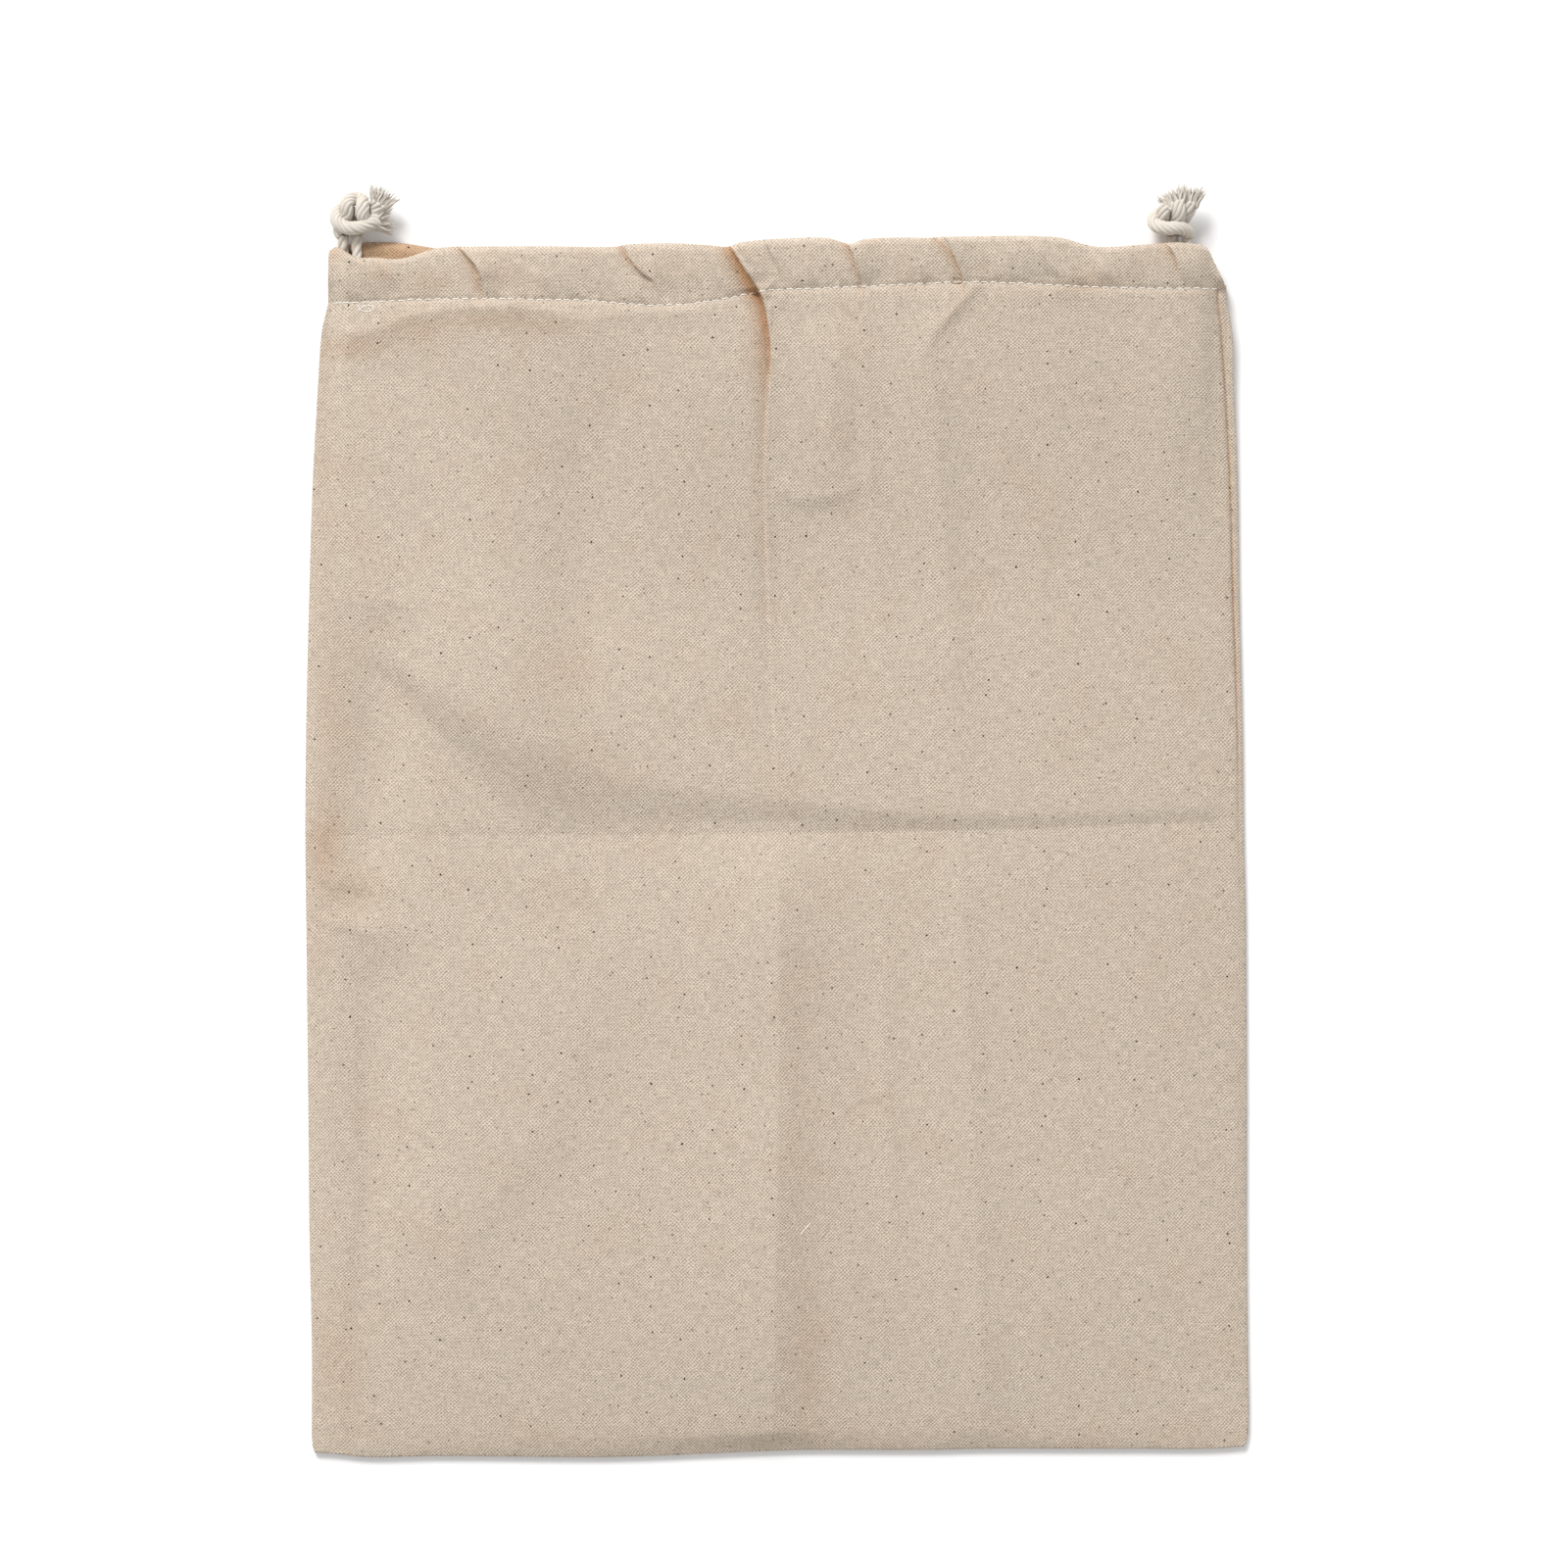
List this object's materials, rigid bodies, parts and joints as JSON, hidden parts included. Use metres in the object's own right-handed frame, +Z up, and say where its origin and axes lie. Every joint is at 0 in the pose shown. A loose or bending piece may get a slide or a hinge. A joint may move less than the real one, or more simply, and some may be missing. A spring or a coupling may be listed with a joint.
{
  "type": "drawstring bag",
  "caption": "Flat drawstring bag of natural cotton cloth with a stitched casing at the mouth and a knotted cotton cord at each corner.",
  "frame": {"origin": "under the middle of the bag, on the flat underside that rests on a surface", "axes": "+X across the bag, +Y from the bottom fold towards the mouth, +Z up from the surface"},
  "size_m": [0.3579, 0.4881, 0.0194],
  "materials": {
    "cotton_cloth": "unbleached plain weave with seed flecks, matt",
    "casing_cloth": "the same cloth, folded over and stitched, matt",
    "cotton_cord": "soft twisted cotton cord with frayed ends, matt"
  },
  "bodies": {
    "root": {"bag_body": "cotton_cloth", "front_casing": "casing_cloth", "back_casing": "casing_cloth", "left_drawstring": "cotton_cord", "right_drawstring": "cotton_cord", "left_knot": "cotton_cord", "right_knot": "cotton_cord"}
  },
  "joints": []
}
